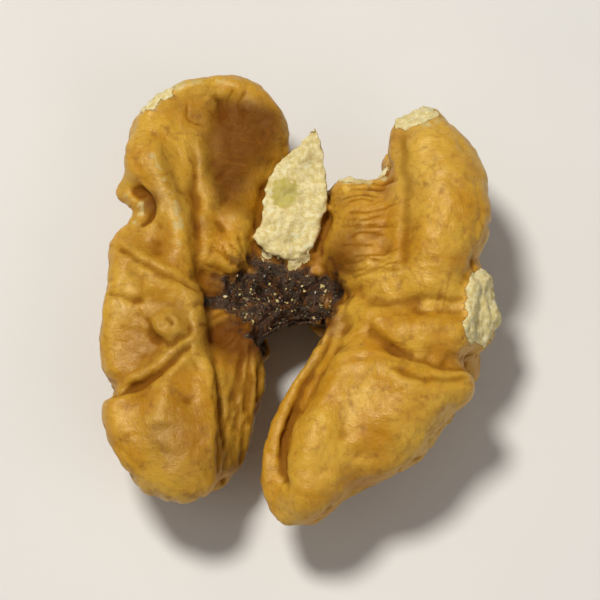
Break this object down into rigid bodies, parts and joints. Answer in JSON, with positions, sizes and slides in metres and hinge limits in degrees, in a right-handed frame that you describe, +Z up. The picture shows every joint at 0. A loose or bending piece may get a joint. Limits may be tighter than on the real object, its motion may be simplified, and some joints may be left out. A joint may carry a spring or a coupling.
{
  "type": "shelled walnut half kernel",
  "caption": "Shelled half of a walnut kernel: two wrinkled amber lobes joined at a dark fibrous middle, with a broken cream stump, lying on its rounded back.",
  "frame": {"origin": "middle of the bounding box's base, on the plane the rounded back rests on", "axes": "+X across the two lobes, +Y from the open cleft between the lobes to the broad upper end, +Z up out of the inner face"},
  "size_m": [0.0306, 0.036, 0.0136],
  "materials": {
    "walnut_skin": "thin papery amber skin with brown veins over cream flesh, satin"
  },
  "bodies": {
    "root": {"walnut_kernel": "walnut_skin"}
  },
  "joints": []
}
